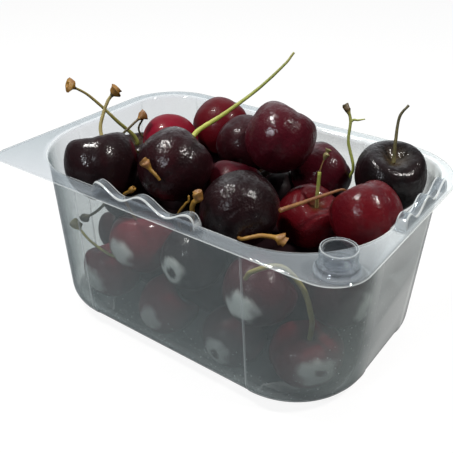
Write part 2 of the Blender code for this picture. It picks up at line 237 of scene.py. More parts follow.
def makeFloor():
    look = studio["floor"]
    build = bmesh.new()
    bmesh.ops.create_grid(build, x_segments=2, y_segments=2, size=look["half"])
    floor = objectFrom(build, "floor")
    made, tree = newMaterial("paleFloor")
    counter = node(tree, "BsdfDiffuse", {"Color": look["counter"]})
    paper = node(tree, "BsdfDiffuse", {"Color": look["seen"]})
    glow = node(tree, "Emission", {"Strength": look["glow"]})
    white = node(tree, "AddShader", {0: paper.outputs[0], 1: glow.outputs[0]})
    seen = node(tree, "LightPath").outputs["Is Camera Ray"]
    both = node(tree, "MixShader", {0: seen, 1: counter.outputs[0], 2: white.outputs[0]})
    node(tree, "OutputMaterial", {"Surface": both.outputs[0]})
    floor.data.materials.append(made)


def makeStudio():
    for name, lamp in studio["lamps"].items():
        back = wayTo(lamp["azimuth"], lamp["elevation"])
        data = bpy.data.lights.new(name, "AREA")
        data.shape = "DISK"
        data.size = lamp["wide"]
        data.energy = lamp["power"]
        data.color = lamp["colour"]
        light = bpy.data.objects.new(name, data)
        scene.collection.objects.link(light)
        turned = back.to_track_quat("Z", "Y").to_matrix().to_4x4()
        light.matrix_world = Matrix.Translation(Vector(studio["aim"]) + back * lamp["away"]) @ turned
    makeAir()
    makeFloor()
    scene.view_settings.view_transform = "Standard"
    scene.cycles.transparent_max_bounces = studio["clearLayers"]


# half sizes along and across, and corner radii in the order of corners
tub = dict(
    rimHeight=0.07, skin=0.0005,
    baseHalf=(0.0685, 0.0426), wallTopHalf=(0.0711, 0.04485), flangeHalf=(0.078, 0.05175),
    baseRadii=(0.026, 0.026, 0.0295, 0.0295), wallTopRadii=(0.017, 0.017, 0.0335, 0.0335),
    flangeRadii=(0.0288, 0.025, 0.008, 0.013),
    floorFillet=0.01, floorSteps=10, wallSteps=7, rimFillet=0.002, rimSteps=6,
    creaseStep=0.0004, creaseRun=0.0012, creaseMiddle=0.45, creaseWidth=0.0005, cornerSteps=24,
    ledge=dict(out=0.0012, run=0.0004, drop=0.0002),    # a fine step in the flange round the mouth
    # how far each loop of the turned-down lip stands out and lies below the flange
    lip=((-0.0006, 0.0002), (-0.0002, 0.0003), (0.0002, 0.0008)))


def wallAt(height):
    share = height / tub["rimHeight"]
    half = mixed(tub["baseHalf"], tub["wallTopHalf"], share)
    return half, mixed(tub["baseRadii"], tub["wallTopRadii"], share)


def cornerReach(point, half, radii):
    # the corner's radius and how far the point lies past the corner's middle, along and across the tub
    number = (0 if point.x > 0 else 1) if point.y > 0 else (3 if point.x > 0 else 2)
    radius = radii[number]
    return radius, abs(point.x) - (half[0] - radius), abs(point.y) - (half[1] - radius)


def insideOutline(point, half, radii):
    # how far a point lies inside a rounded rectangle
    radius, along, across = cornerReach(point, half, radii)
    if along > 0 and across > 0:
        return radius - math.hypot(along, across)
    return radius - max(along, across)


def tubLoop(half, radii, height, grow=0.0, crease=0.0):
    # a rounded rectangle whose corners stand a little proud of the flat walls beside them
    points = []
    for number, (signX, signY) in enumerate(corners):
        radius = radii[number] + grow
        centre = Vector((signX * (half[0] + grow - radius), signY * (half[1] + grow - radius)))
        first = math.radians(90 * number)
        last = first + math.pi / 2
        for angle, along in ((first, first - math.pi / 2), (last, first + math.pi)):
            edge = centre + Vector((math.cos(angle), math.sin(angle))) * radius
            step = Vector((math.cos(along), math.sin(along))) * tub["creaseRun"]
            flats = [edge + step, edge + step * tub["creaseMiddle"]]
            if angle == last:
                flats.reverse()
            points += flats
            if angle == first:
                steps = tub["cornerSteps"]
                turns = [math.pi / 2 * count / steps for count in range(steps + 1)]
                beside = tub["creaseWidth"] / radii[number]
                for turn in [0, beside] + turns[1:-1] + [math.pi / 2 - beside, math.pi / 2]:
                    way = Vector((math.cos(first + turn), math.sin(first + turn)))
                    points.append(centre + way * (radius + crease))
    return [(point.x, point.y, height) for point in points]


def tubLoops():
    # the inner face from the middle of the floor up the wall and out over the flange
    loops = []
    for step in range(tub["floorSteps"] + 1):
        angle = math.pi / 2 * step / tub["floorSteps"]
        height = between(tub["floorFillet"], tub["skin"], math.cos(angle))
        half, radii = wallAt(height)
        loops.append(tubLoop(half, radii, height, grow=-tub["floorFillet"] * (1 - math.sin(angle)),
                             crease=tub["creaseStep"] * math.sin(angle) ** 2))
    under = tub["rimHeight"] - tub["skin"]
    wallTop = under - tub["rimFillet"]
    for step in range(1, tub["wallSteps"] + 1):
        height = between(tub["floorFillet"], wallTop, step / tub["wallSteps"])
        half, radii = wallAt(height)
        loops.append(tubLoop(half, radii, height, crease=tub["creaseStep"]))
    for step in range(1, tub["rimSteps"] + 1):
        angle = math.pi / 2 * step / tub["rimSteps"]
        loops.append(tubLoop(half, radii, wallTop + tub["rimFillet"] * math.sin(angle),
                             grow=tub["rimFillet"] * (1 - math.cos(angle)),
                             crease=tub["creaseStep"] * math.cos(angle)))
    ledge = tub["ledge"]
    out = tub["rimFillet"] + ledge["out"]
    loops.append(tubLoop(half, radii, under, grow=out))
    loops.append(tubLoop(half, radii, under - ledge["drop"], grow=out + ledge["run"]))
    for grow, drop in tub["lip"]:
        loops.append(tubLoop(tub["flangeHalf"], tub["flangeRadii"], under - drop, grow=grow))
    return loops


ridges = dict(
    width=0.004, crest=0.005, valley=0.0013, end=0.0026, endDrop=0.75, steps=72, foot=0.0004,
    hollowFoot=0.00125, sideHigh=0.45, sideIn=0.98, leastSide=0.0001,
    # the rounded top: angles in degrees, its middle and reach as shares of the half width, and its height
    round=dict(angles=(10, 30, 50, 70, 90), middle=0.5, reach=0.42, high=0.0009),
    places=dict(longSide=dict(middle=(0.002, -0.049), turn=0.0, pitch=0.0198),
                shortSide=dict(middle=(0.0752, 0.004), turn=90.0, pitch=0.0145)))


def crestAt(station, pitch, length):
    wave = 0.5 * (1 + math.cos(2 * math.pi * min(abs(station), pitch) / pitch))
    top = ridges["valley"] + (ridges["crest"] - ridges["valley"]) * wave
    past = min(max(abs(station) - pitch, 0) / (length - pitch), 1)
    return top * math.sqrt(1 - ridges["endDrop"] * past ** 2)


def ridgeLoops(pitch, shrink, foot):
    # a wave of three crests; shrink gives the hollow inside it
    length = pitch + ridges["end"] - shrink
    half = 0.5 * ridges["width"] - shrink
    loops = []
    for step in range(ridges["steps"] + 1):
        station = length * (2 * step / ridges["steps"] - 1)
        top = crestAt(station, pitch, length) - shrink
        sideTop = max(ridges["sideHigh"] * top, ridges["leastSide"] - foot)
        arc = [(-half, -foot), (half, -foot), (half * ridges["sideIn"], sideTop)]
        for degrees in ridges["round"]["angles"]:
            turn = math.radians(degrees)
            side = half * (ridges["round"]["middle"] + ridges["round"]["reach"] * math.cos(turn))
            arc.append((side, top - ridges["round"]["high"] * (1 - math.sin(turn))))
        arc += [(-side, height) for side, height in reversed(arc[2:])]
        loops.append([(station, side, tub["rimHeight"] + height) for side, height in arc])
    return loops


def ridge(middle, turn, pitch, shrink=0.0, foot=ridges["foot"]):
    build = bmesh.new()
    loftLoops(build, ridgeLoops(pitch, shrink, foot))
    place = Matrix.Translation((*middle, 0)) @ Matrix.Rotation(math.radians(turn), 4, "Z")
    bmesh.ops.transform(build, matrix=place, verts=build.verts)
    return objectFrom(build, "ridge")


stud = dict(
    place=(0.0695, -0.0425), steps=48,
    # the cup's floor is faceted between these radii
    facets=dict(count=9, inner=0.001, outer=0.0035, above=0.0005, deep=0.0004),
    # (radius, height above the flange, painted light: above 0 a painted highlight line, below 0 a painted
    # dark line) from the collar up over the double rim and down inside
    profile=((0.0, -0.0005, 0), (0.007, -0.0005, 0), (0.0069, 0.0004, 0.5), (0.0064, 0.0009, 0),
             (0.0059, 0.0013, -0.6), (0.0057, 0.002, 0), (0.0056, 0.005, 0), (0.0056, 0.0064, 0.2),
             (0.0054, 0.007, 1.0), (0.005, 0.0071, -0.3), (0.0047, 0.0068, 0.9), (0.0045, 0.006, -0.4),
             (0.0042, 0.002, 0.3), (0.0039, 0.0013, -0.6), (0.003, 0.001, 0), (0.0016, 0.0012, 0),
             (0.0, 0.0012, 0)),
    near=(0.0002, 0.0004))      # how near one of these painted lines a point lies, across and up


def makeStud():
    build = bmesh.new()
    foot = tub["rimHeight"]
    verts = [build.verts.new((radius, 0, foot + height)) for radius, height, _ in stud["profile"]]
    edges = [build.edges.new(pair) for pair in zip(verts, verts[1:])]
    bmesh.ops.spin(build, geom=verts + edges, cent=(0, 0, 0), axis=(0, 0, 1), angle=2 * math.pi,
                   steps=stud["steps"], use_merge=True)
    bmesh.ops.remove_doubles(build, verts=build.verts, dist=0.01 * mm)
    facets = stud["facets"]
    for vert in build.verts:
        radius = math.hypot(vert.co.x, vert.co.y)
        if facets["inner"] < radius < facets["outer"] and vert.co.z > tub["rimHeight"] + facets["above"]:
            vert.co.z += facets["deep"] * math.cos(facets["count"] * math.atan2(vert.co.y, vert.co.x))
    bmesh.ops.recalc_face_normals(build, faces=build.faces)
    bmesh.ops.translate(build, verts=build.verts, vec=(*stud["place"], 0))
    return objectFrom(build, "stud")


# how damp the tub's skin is, and where painted light and painted shade lie on it, by place in metres; the
# scales of the noise are per metre
dampAndPaintedLight = dict(
    low=0.004, high=0.046, least=0.3, top=0.066, blotch=dict(scale=38.0, middle=0.7, vary=0.3),
    # on the base: a little more damp, and a painted shade that darkens it
    base=0.15, baseHeights=(0.0012, 0.0006), paintedBaseShade=-0.62,
    end=0.7, endFrom=0.052, leftEnd=0.6, leftFrom=-0.042,
    # painted light in blotches on the back of the right end
    paintedEndLight=dict(light=2.0, start=0.06, behind=(-0.022, -0.01), blotch=dict(scale=55, middle=0.7, vary=0.8)),
    # a painted gleam on the flange, stronger to the right and towards the back
    flange=dict(light=0.75, above=0.0003, across=(-0.02, 0.05), behind=(-0.05, 0.0), front=0.15))

# painted highlight lines and painted dark lines along the moulded edges: half widths and heights in metres,
# and how strong each line is
paintedEdgeLines = dict(
    above=0.0003, lip=0.0001, lipDeep=0.004, crease=dict(wide=0.0003, light=0.7, corner=0.5),
    mouth=dict(deep=0.0035, middle=0.0013, wide=0.0004, past=0.004),
    # side and reach are shares of the ridge's half width, low is a share of its height there
    ridge=dict(side=0.52, reach=1.02, low=0.3, deep=0.0007, slack=0.0001, end=0.0006, endLight=0.8))


def paintedStudLight(point, height):
    # the stud's painted highlight or painted dark line here; None away from the stud's lines
    away = math.hypot(point.x - stud["place"][0], point.y - stud["place"][1])
    nearAcross, nearUp = stud["near"]
    for radius, level, light in stud["profile"]:
        if light and abs(away - radius) < nearAcross and abs(height - level) < nearUp:
            return light
    return None


def paintedRidgeLight(point, height):
    # the painted highlight on the ridges' crests and ends; None away from the ridges
    look = paintedEdgeLines["ridge"]
    for place in ridges["places"].values():
        away = Vector((point.x - place["middle"][0], point.y - place["middle"][1]))
        if place["turn"]:
            away = Vector((away.y, -away.x))
        length = place["pitch"] + ridges["end"]
        side = abs(away.y) / (0.5 * ridges["width"])
        if abs(away.x) < length + look["slack"] and side < look["reach"]:
            if abs(away.x) > length - look["end"]:
                return look["endLight"]
            top = crestAt(away.x, place["pitch"], length)
            onCrest = side > look["side"] and height > max(top - look["deep"], look["low"] * top)
            return 1.0 if onCrest else 0.0
    return None


def paintedEdgeLight(point):
    # 1 on a painted highlight along a moulded edge, below 0 on a painted dark line
    height = point.z - tub["rimHeight"]
    if height > paintedEdgeLines["above"]:
        for light in (paintedStudLight(point, height), paintedRidgeLight(point, height)):
            if light is not None:
                return light
    inset = insideOutline(point, tub["flangeHalf"], tub["flangeRadii"])
    if inset < paintedEdgeLines["lip"] and height > -paintedEdgeLines["lipDeep"]:
        return 1.0
    half, radii = wallAt(min(point.z, tub["rimHeight"]))
    mouth = paintedEdgeLines["mouth"]
    if height > -mouth["deep"]:
        past = -insideOutline(point, half, radii)
        return smooth(mouth["wide"], 0.0, abs(past - mouth["middle"])) if past < mouth["past"] else 0.0
    crease = paintedEdgeLines["crease"]
    radius, along, across = cornerReach(point, half, radii)
    onCrease = any(abs(reach) < crease["wide"] and other > crease["corner"] * radius
                   for reach, other in ((along, across), (across, along)))
    return crease["light"] if onCrease else 0.0


def blotchAt(point, look):
    return look["middle"] + look["vary"] * noise.noise(point * look["scale"])


def fogAt(point, onBase):
    damp = dampAndPaintedLight["least"] * smooth(tub["rimHeight"], dampAndPaintedLight["top"], point.z)
    rising = smooth(dampAndPaintedLight["high"], dampAndPaintedLight["low"], point.z)
    damp += (1 - dampAndPaintedLight["least"]) * rising * blotchAt(point, dampAndPaintedLight["blotch"])
    damp *= 1 + dampAndPaintedLight["end"] * smooth(dampAndPaintedLight["endFrom"], tub["baseHalf"][0], point.x)
    damp *= 1 - dampAndPaintedLight["leftEnd"] * smooth(dampAndPaintedLight["leftFrom"], -tub["baseHalf"][0], point.x)
    return damp + dampAndPaintedLight["base"] * onBase


def paintedLightAt(point, onBase):
    # the painted highlights of the edges, with painted light in blotches on the right end, a painted gleam
    # on the flange to the right and painted shade on the base
    value = paintedEdgeLight(point) + dampAndPaintedLight["paintedBaseShade"] * onBase
    paintedEndLight, flange = dampAndPaintedLight["paintedEndLight"], dampAndPaintedLight["flange"]
    if point.z < dampAndPaintedLight["top"]:
        share = smooth(paintedEndLight["start"], tub["baseHalf"][0], point.x) * smooth(*paintedEndLight["behind"], point.y)
        value += paintedEndLight["light"] * share * (1 - onBase) * blotchAt(point, paintedEndLight["blotch"])
    elif point.z < tub["rimHeight"] + flange["above"]:
        toBack = between(flange["front"], 1, smooth(*flange["behind"], point.y))
        value += flange["light"] * smooth(*flange["across"], point.x) * toBack
    return value


def markTub(mesh):
    fog = mesh.attributes.new("fog", "FLOAT", "POINT")
    # light holds the painted highlights above 0 and the painted shade below 0
    light = mesh.attributes.new("light", "FLOAT", "POINT")
    for vert in mesh.vertices:
        onBase = smooth(*dampAndPaintedLight["baseHeights"], vert.co.z)
        fog.data[vert.index].value = fogAt(vert.co, onBase)
        light.data[vert.index].value = paintedLightAt(vert.co, onBase)


def makeTub():
    build = bmesh.new()
    loftLoops(build, tubLoops(), capEnd=False)
    splitCaps(build)
    punnet = objectFrom(build, "punnet_clear")
    shell = punnet.modifiers.new("skin", "SOLIDIFY")
    shell.thickness = tub["skin"]
    shell.offset = -1
    shell.use_even_offset = True
    bakeModifiers(punnet)
    places = ridges["places"].values()
    combine(punnet, [ridge(**place) for place in places] + [makeStud()], "UNION")
    hollow = dict(shrink=tub["skin"], foot=ridges["hollowFoot"])
    combine(punnet, [ridge(**place, **hollow) for place in places], "DIFFERENCE")
    shadeSmooth(punnet.data)
    markTub(punnet.data)
    return punnet


# colours, and shares of the light that is veiled or mirrored; sizes in metres
plastic = dict(
    tint=(0.865, 0.875, 0.892), wallTint=(0.93, 0.945, 0.94), edgeTint=(0.52, 0.58, 0.58),
    veil=(0.5, 0.55, 0.6), wallVeil=(0.45, 0.51, 0.5), veilShare=0.03, edgeVeil=0.15, edgePower=3.0,
    # the painted highlights thicken and whiten the haze; the painted dark lines darken what is seen through
    fogVeil=0.26, paintedLightVeil=0.34, paintedLightColour=(0.93, 0.97, 0.96), paintedDarkShare=0.75, hazeRough=0.5, hazeShine=0.2,
    mirrorLow=0.045, mirrorEdge=0.85, mirrorPower=5.0, mirrorTint=(0.95, 0.99, 1.0), gloss=0.02,
    waves=dict(scale=90.0, detail=1.0), waveStrength=0.1, waveDeep=0.0004,
    # painted shade on the base under the heap: from clear to full along the tub and from the front, below
    # this height; how dark it is and how clear
    baseShade=dict(along=(0.07, 0.058), front=(-0.038, -0.03), high=0.0045, dark=0.5, clears=0.7),
    specks=dict(scale=430.0, size=0.12, most=0.8, veil=0.6))


def paintedShadeOnBase(tree, place):
    # 1 where shade is painted on the base under the cherries
    look = plastic["baseShade"]
    apart = node(tree, "SeparateXYZ", {0: place})
    away = maths(tree, "ABSOLUTE", apart.outputs["X"])
    under = mapped(tree, away, look["along"], kind="SMOOTHSTEP")
    behind = mapped(tree, apart.outputs["Y"], look["front"])
    low = maths(tree, "LESS_THAN", apart.outputs["Z"], look["high"])
    return maths(tree, "MULTIPLY", maths(tree, "MULTIPLY", under, behind), low)


def specksOnWall(tree, place, fog):
    # fine droplets where the wall is damp, drawn as pale specks that stand in for their glints: painted
    # highlights
    look = plastic["specks"]
    cells = node(tree, "TexVoronoi", {"Vector": place, "Scale": look["scale"]})
    speck = maths(tree, "LESS_THAN", cells.outputs["Distance"], look["size"])
    few = maths(tree, "MINIMUM", fog, look["most"])
    return maths(tree, "MULTIPLY", speck, maths(tree, "MULTIPLY", few, look["veil"]))


def veiledShare(tree, edge, fog, paintedHighlight, baseShade):
    share = maths(tree, "MULTIPLY_ADD", edge, plastic["edgeVeil"], plastic["veilShare"])
    share = maths(tree, "MULTIPLY_ADD", fog, plastic["fogVeil"], share)
    share = maths(tree, "MULTIPLY_ADD", paintedHighlight, plastic["paintedLightVeil"], share, clamp=True)
    soaked = maths(tree, "MULTIPLY_ADD", baseShade, -plastic["baseShade"]["clears"], 1.0)
    return maths(tree, "MULTIPLY", share, soaked)


def clearPlastic():
    made, tree = newMaterial("clearPlastic")
    place = node(tree, "TexCoord").outputs["Object"]
    facing = node(tree, "LayerWeight", {"Blend": 0.5}).outputs["Facing"]
    edge = maths(tree, "POWER", facing, plastic["edgePower"])
    fog = attribute(tree, "fog")
    light = attribute(tree, "light")
    # painted highlights: the bright edge lines, the right end, the flange's gleam and the droplets' specks
    paintedHighlight = maths(tree, "ADD", maths(tree, "MAXIMUM", light, 0.0), specksOnWall(tree, place, fog))
    baseShade = paintedShadeOnBase(tree, place)
    # painted shade: the dark edge lines and the shade painted on the base turn what is seen through towards
    # black
    dark = maths(tree, "MAXIMUM", maths(tree, "MULTIPLY", light, -plastic["paintedDarkShare"]), 0.0)
    dark = maths(tree, "MULTIPLY_ADD", baseShade, plastic["baseShade"]["dark"], dark, clamp=True)
    damp = maths(tree, "MULTIPLY", fog, 1 / dampAndPaintedLight["least"], clamp=True)
    through = blendColour(tree, damp, plastic["tint"], plastic["wallTint"])
    through = blendColour(tree, edge, through, plastic["edgeTint"])
    through = blendColour(tree, dark, through, (0.0, 0.0, 0.0))
    clear = node(tree, "BsdfTransparent", {"Color": through})
    milky = blendColour(tree, damp, plastic["veil"], plastic["wallVeil"])
    # the haze is whitened where highlights are painted
    milky = blendColour(tree, maths(tree, "MINIMUM", paintedHighlight, 1.0), milky, plastic["paintedLightColour"])
    haze = node(tree, "BsdfPrincipled", {"Base Color": milky, "Roughness": plastic["hazeRough"],
                                         "Specular IOR Level": plastic["hazeShine"]})
    bump = node(tree, "Bump", {"Strength": plastic["waveStrength"], "Distance": plastic["waveDeep"],
                               "Height": noiseOf(tree, **plastic["waves"])})
    mirror = node(tree, "BsdfGlossy", {"Color": plastic["mirrorTint"], "Roughness": plastic["gloss"],
                                       "Normal": bump.outputs[0]})
    gleam = maths(tree, "MULTIPLY_ADD", maths(tree, "POWER", facing, plastic["mirrorPower"]),
                  plastic["mirrorEdge"], plastic["mirrorLow"])
    share = veiledShare(tree, edge, fog, paintedHighlight, baseShade)
    body = node(tree, "MixShader", {0: share, 1: clear.outputs[0], 2: haze.outputs[0]})
    whole = node(tree, "MixShader", {0: gleam, 1: body.outputs[0], 2: mirror.outputs[0]})
    node(tree, "OutputMaterial", {"Surface": whole.outputs[0]})
    return made


# centre and half width in mm, direction of the stem, turn of the seam in degrees from the front, tone of
# the skin (0 black, 1 bright crimson), how wet it is and how deep its pit is
shownCherries = dict(
    frontLeftDark=((-38.5, -29.7, 67.0), 14.4, (-0.46, 0.33, 0.82), 0, 0.14, 0.5, 1.1),
    leftHollow=((-57.5, 9.5, 51.0), 12.0, (-0.05, -0.1, 0.99), 0, 0.15, 0.2, 1.0),
    crimson=((-38.6, 9.0, 63.0), 11.8, (-0.2, 0.9, 0.4), 120, 0.95, 0.0, 1.0),
    frontDark=((-13.5, -17.0, 68.8), 14.3, (-0.03, 0.94, 0.33), 15, 0.2, 0.9, 0.9),
    backMutedRed=((-28.0, 31.0, 65.0), 12.8, (-0.3, 0.8, 0.5), 60, 0.7, 0.1, 1.0),
    backPurple=((-7.0, 20.5, 65.2), 12.2, (-0.5, 0.8, 0.3), 90, 0.32, 0.4, 1.0),
    topPurpleRed=((14.5, 12.0, 76.4), 13.8, (0.07, 0.72, 0.7), 10, 0.52, 0.8, 0.8),
    middleSunk=((1.1, 0.7, 55.8), 12.3, (-0.3, 0.6, 0.74), 40, 0.5, 0.05, 1.0),
    frontBloomed=((19.5, -20.0, 62.5), 14.3, (-0.6, 0.55, -0.58), 0, 0.12, 1.0, 1.0),
    backRightBrown=((22.5, 31.0, 56.5), 12.8, (0.3, 0.8, 0.5), 30, 0.5, 0.7, 1.0),
    dimpledRed=((31.0, 8.5, 49.0), 13.0, (0.42, -0.22, 0.88), 150, 0.72, 0.5, 0.75),
    brightRed=((56.3, 5.3, 59.5), 13.2, (-0.8, 0.3, 0.53), 30, 0.72, 0.6, 0.9),
    rightBlack=((52.5, 30.5, 64.0), 13.9, (0.2, -0.18, 0.96), 10, 0.04, 0.8, 1.0),
    wallRed=((-20.5, -29.5, 39.5), 13.2, (-0.1, 0.32, 0.94), -80, 0.85, 0.3, 1.0),
    leftEnd=((-52.0, -8.0, 22.5), 13.0, (-0.5, 0.3, 0.81), 0, 0.4, 0.2, 1.0),
    wallLeft=((-39.0, -29.5, 19.5), 12.8, (-0.3, 0.1, 0.95), 30, 1.0, 0.3, 1.0),
    wallMiddle=((5.5, -30.5, 42.0), 12.6, (0.3, 0.6, 0.74), 10, 0.1, 0.4, 1.0),
    floorLeft=((-10.0, -29.5, 13.5), 12.5, (0.6, 0.5, 0.62), 200, 0.95, 0.3, 1.0),
    floorMiddle=((23.5, -29.5, 13.4), 12.4, (-0.4, 0.8, 0.45), 90, 0.6, 0.3, 1.0),
    wallRight=((34.0, -29.5, 39.5), 13.5, (0.5, 0.7, 0.51), 40, 0.5, 0.6, 1.0),
    nearCorner=((50.5, -23.0, 14.7), 13.6, (0.26, -0.1, 0.96), -60, 0.85, 0.5, 0.8),
    nearCornerUpper=((56.5, -12.0, 36.0), 12.4, (-0.6, 0.5, 0.62), 0, 0.35, 0.2, 1.0),
    rightEndUpper=((55.0, 27.0, 35.5), 12.2, (-0.5, 0.2, 0.84), 0, 0.3, 0.2, 1.0),
    rightEndFloor=((56.0, 20.0, 13.2), 12.2, (-0.7, 0.2, 0.69), 0, 0.45, 0.2, 1.0))
seamToward = (0.505, -0.696, 0.51)
# the tones of the skin that each piece takes
pieceTones = dict(cherries_dark=(0, 0.3), cherries_purple=(0.3, 0.65), cherries_red=(0.65, 1.1))

# those behind them, on the floor and between the others; all are as wet and as deep as hiddenLook says;
# those above 34 mm have darker tones, painted shade where the heap shades them
hiddenCherries = (
    ((-16.2, 30.3, 12.7), 11.8, (-0.19, -0.96, -0.21), 347, 0.28),
    ((-33.9, 30.4, 18.9), 11.9, (-0.73, -0.66, -0.2), 87, 0.13),
    ((38.0, 2.4, 26.4), 11.9, (0.68, 0.73, -0.05), 48, 0.55),
    ((24.1, 13.9, 13.1), 12.2, (0.99, 0.11, -0.09), 156, 0.52),
    ((6.6, 29.3, 13.8), 12.9, (0.66, 0.25, 0.71), 273, 0.65),
    ((15.1, -2.0, 32.3), 13.1, (0.65, 0.69, -0.32), 35, 0.36),
    ((6.7, 20.5, 46.0), 12.3, (-0.6, -0.14, 0.78), 66, 0.05),
    ((7.3, -7.4, 13.0), 12.1, (0.58, 0.25, -0.78), 93, 0.52),
    ((-34.0, 9.9, 12.8), 11.9, (0.73, -0.65, -0.21), 88, 0.3),
    ((-54.9, 20.4, 14.0), 13.1, (0.65, -0.07, -0.76), 90, 0.39),
    ((-34.3, 24.0, 44.5), 12.2, (-0.32, 0.2, 0.92), 354, 0.23),
    ((-20.9, -8.4, 12.9), 12.0, (-0.53, 0.45, 0.72), 68, 0.36),
    ((-24.4, 0.5, 44.3), 13.0, (0.77, 0.63, 0.1), 60, 0.1),
    ((-52.2, 29.6, 33.4), 12.2, (0.64, 0.68, 0.36), 75, 0.77),
    ((-7.5, 10.7, 16.0), 12.9, (0.11, -0.04, 0.99), 8, 0.64),
    ((-8.1, -9.0, 32.3), 12.3, (0.5, 0.82, 0.28), 234, 0.34),
    ((-44.5, -11.5, 46.0), 12.8, (0.59, 0.79, -0.16), 173, 0.14),
    ((31.2, 30.6, 28.1), 12.0, (-0.25, -0.2, 0.95), 256, 0.64),
    ((-13.3, 30.1, 40.4), 12.9, (0.69, -0.02, 0.72), 149, 0.03))
hiddenLook = dict(wet=-0.25, deep=1.0)


# shares of the half width; angles in radians from the stem; crowd draws the rings towards the stem's pit
cherryForm = dict(
    sides=56, rings=44, crowd=1.2, sharp=80, flat=0.95, tall=0.93, square=0.55, taper=0.13, pit=0.36,
    pitWidth=0.44, shoulder=0.055, shoulderAt=0.75, shoulderWidth=0.45, tip=0.03, tipWidth=0.16,
    seam=0.035, seamWidth=0.15, seamPower=0.7, lump=0.03, lumpScale=1.3, smallLump=0.006, smaller=4)


def cherrySpot(around, down, deep, seed):
    # a cherry of half width 1 about its own stem axis: down is the angle from the stem
    form = cherryForm
    power = 2 + form["square"] * max(math.cos(down), 0)         # square shoulders above, round below
    reach = (abs(math.cos(down)) ** power + abs(math.sin(down)) ** power) ** (-1 / power)
    width = reach * math.sin(down) * (1 + form["taper"] * math.cos(down) / 2)
    height = form["tall"] * reach * math.cos(down)
    height -= deep * form["pit"] * math.exp(-(down / (deep * form["pitWidth"])) ** 2)
    height += form["tip"] * math.exp(-((math.pi - down) / form["tipWidth"]) ** 2)
    fromShoulder = (down - form["shoulderAt"]) / form["shoulderWidth"]
    height -= form["shoulder"] * math.cos(2 * around) * math.exp(-fromShoulder ** 2)
    spot = Vector((width * math.cos(around), form["flat"] * width * math.sin(around), height))
    fromSeam = math.remainder(around, 2 * math.pi) / form["seamWidth"]
    seam = math.exp(-fromSeam ** 2) * math.sin(down) ** form["seamPower"]
    where = spot * form["lumpScale"] + seed
    swell = form["lump"] * noise.noise(where) + form["smallLump"] * noise.noise(where * form["smaller"])
    return spot * (1 + swell - form["seam"] * seam), seam


def insideWall(point):
    # how far a point lies inside the inner face of the wall
    half, radii = wallAt(min(max(point.z, 0), tub["rimHeight"]))
    return insideOutline(point, half, radii) - tub["skin"]


# the pale patch where a cherry touches the wall, in metres; most have a dark dot in the middle
patches = dict(reach=0.0036, wide=0.0017, soft=0.0012, high=0.06, fade=0.004, ragged=0.0008, scale=260,
               white=dict(middle=0.88, vary=0.25, scale=5),
               dot=dict(inner=0.00006, outer=0.00018, ragged=0.12, scale=3, rare=-0.1))
# what a cherry's place is multiplied by to seed its noise, the drift of its tone and its pit's reach
skinMarks = dict(seed=0.37, vary=0.06, scale=70, pit=0.26)


def paleAt(point, rise, nearest, seed):
    # rise is how much further from the wall this point lies than the cherry's nearest one
    dot = patches["dot"]
    if nearest >= patches["reach"]:
        return 0.0
    ragged = patches["ragged"] * noise.noise(point * patches["scale"] + seed)
    pale = smooth(patches["wide"], patches["wide"] - patches["soft"], rise + ragged)
    pale *= smooth(patches["high"], patches["high"] - patches["fade"], point.z)
    if noise.noise(seed * dot["scale"]) > dot["rare"]:
        pale *= smooth(dot["inner"], dot["outer"], rise + dot["ragged"] * ragged)
    return pale * blotchAt(seed, patches["white"])


def addCherry(build, layers, look):
    centre, halfWidth, axis, turn, tone, wet, deep = look
    seed = Vector(centre) * skinMarks["seed"]
    upward = Vector(axis).normalized()
    side = upward.cross(Vector(seamToward)).normalized()
    turned = Matrix((side.cross(upward), side, upward)).transposed().to_4x4()
    place = Matrix.Translation(Vector(centre) * mm) @ turned @ Matrix.Rotation(math.radians(turn), 4, "Z")
    made = bmesh.ops.create_uvsphere(build, u_segments=cherryForm["sides"], v_segments=cherryForm["rings"],
                                     radius=1)["verts"]
    spots = []
    for vert in made:
        down = math.acos(min(max(vert.co.normalized().z, -1), 1))
        down = math.pi * (down / math.pi) ** cherryForm["crowd"]
        spot, seam = cherrySpot(math.atan2(vert.co.y, vert.co.x), down, deep, seed)
        vert.co = place @ (spot * halfWidth * mm)
        spots.append((vert, down, seam, insideWall(vert.co)))
    nearest = min(gap for _, _, _, gap in spots)
    for vert, down, seam, gap in spots:
        drift = skinMarks["vary"] * noise.noise(vert.co * skinMarks["scale"] + seed)
        pit = math.exp(-(down / (deep * skinMarks["pit"])) ** 2)
        vert[layers["skin"]] = (tone + drift, paleAt(vert.co, gap - nearest, nearest, seed), pit, seam)
        vert[layers["wet"]] = wet


def cherryPiece(name, looks):
    build = bmesh.new()
    layers = dict(skin=build.verts.layers.float_color.new("skin"), wet=build.verts.layers.float.new("wet"))
    for look in looks:
        addCherry(build, layers, look)
    bmesh.ops.recalc_face_normals(build, faces=build.faces)
    return objectFrom(build, name, cherryForm["sharp"])


# colours, the noise that each effect follows and how strongly it works; lengths in metres
skinLook = dict(
    tones=((0.0, (0.0048, 0.0032, 0.0036)), (0.15, (0.01, 0.0036, 0.0044)),
           (0.35, (0.023, 0.003, 0.005)), (0.55, (0.043, 0.0032, 0.007)),
           (0.75, (0.07, 0.0028, 0.0052)), (1.0, (0.14, 0.0042, 0.014))),
    mottle=dict(vary=0.22, scale=210.0, detail=4.0, roughness=0.6), seam=-0.08,
    pit=(0.04, 0.025, 0.008), pitShare=0.75, pale=(0.9, 0.92, 0.88), paleShare=0.85,
    beads=dict(scale=640.0, detail=1.0), fineBeads=dict(scale=1350.0, roughness=0.6), fineShare=0.6,
    beadDeep=0.0004, beadDry=0.16, beadWet=0.5,
    film=dict(scale=150.0, detail=4.0, roughness=0.7), filmRange=(0.44, 0.6), filmLeast=0.12, filmDry=0.2,
    filmWet=0.8, filmRough=0.04, filmIor=1.45,
    dull=dict(scale=300.0), dullVary=0.1, dullLeast=0.3, dullPale=0.3, shine=0.1, ior=1.42)


